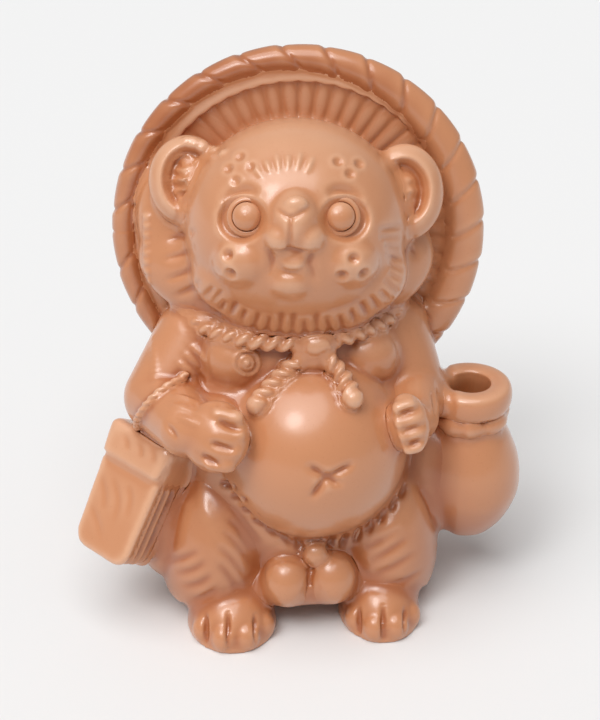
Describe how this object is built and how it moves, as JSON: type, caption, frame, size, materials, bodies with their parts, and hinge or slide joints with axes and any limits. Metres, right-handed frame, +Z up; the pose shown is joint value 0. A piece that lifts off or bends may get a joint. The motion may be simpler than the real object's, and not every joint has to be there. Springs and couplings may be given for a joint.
{
  "type": "tanuki statue",
  "caption": "Small ceramic tanuki figure standing in a sedge hat, with a hand on its round belly, an account book at one hip and an open sake bottle at the other.",
  "frame": {"origin": "on the surface it stands on, under the middle of the figure's width and depth", "axes": "+Z up, -Y the way the figure faces, +X towards its own left hand and the sake bottle"},
  "size_m": [0.1025, 0.0658, 0.1237],
  "materials": {
    "terracotta_glaze": "satin, thin clear glaze over salmon brown clay, a little darker where it pools"
  },
  "bodies": {
    "root": {"body_front": "terracotta_glaze", "body_back": "terracotta_glaze", "base_slab": "terracotta_glaze", "face": "terracotta_glaze", "head_back": "terracotta_glaze", "right_eye": "terracotta_glaze", "left_eye": "terracotta_glaze", "right_pupil": "terracotta_glaze", "left_pupil": "terracotta_glaze", "muzzle": "terracotta_glaze", "nose": "terracotta_glaze", "lower_lip": "terracotta_glaze", "right_arm": "terracotta_glaze", "left_arm": "terracotta_glaze", "right_foot": "terracotta_glaze", "left_foot": "terracotta_glaze", "right_leg": "terracotta_glaze", "left_leg": "terracotta_glaze", "tail": "terracotta_glaze", "money_bag": "terracotta_glaze", "bag_nub": "terracotta_glaze", "hat_shell": "terracotta_glaze", "hat_rim": "terracotta_glaze", "right_ear": "terracotta_glaze", "left_ear": "terracotta_glaze", "cord_knot": "terracotta_glaze", "right_hat_cord": "terracotta_glaze", "left_hat_cord": "terracotta_glaze", "right_cord_end": "terracotta_glaze", "left_cord_end": "terracotta_glaze", "book_band": "terracotta_glaze", "book_pages": "terracotta_glaze", "front_book_cover": "terracotta_glaze", "back_book_cover": "terracotta_glaze", "book_string": "terracotta_glaze", "sake_bottle": "terracotta_glaze", "bottle_cord": "terracotta_glaze"}
  },
  "joints": []
}
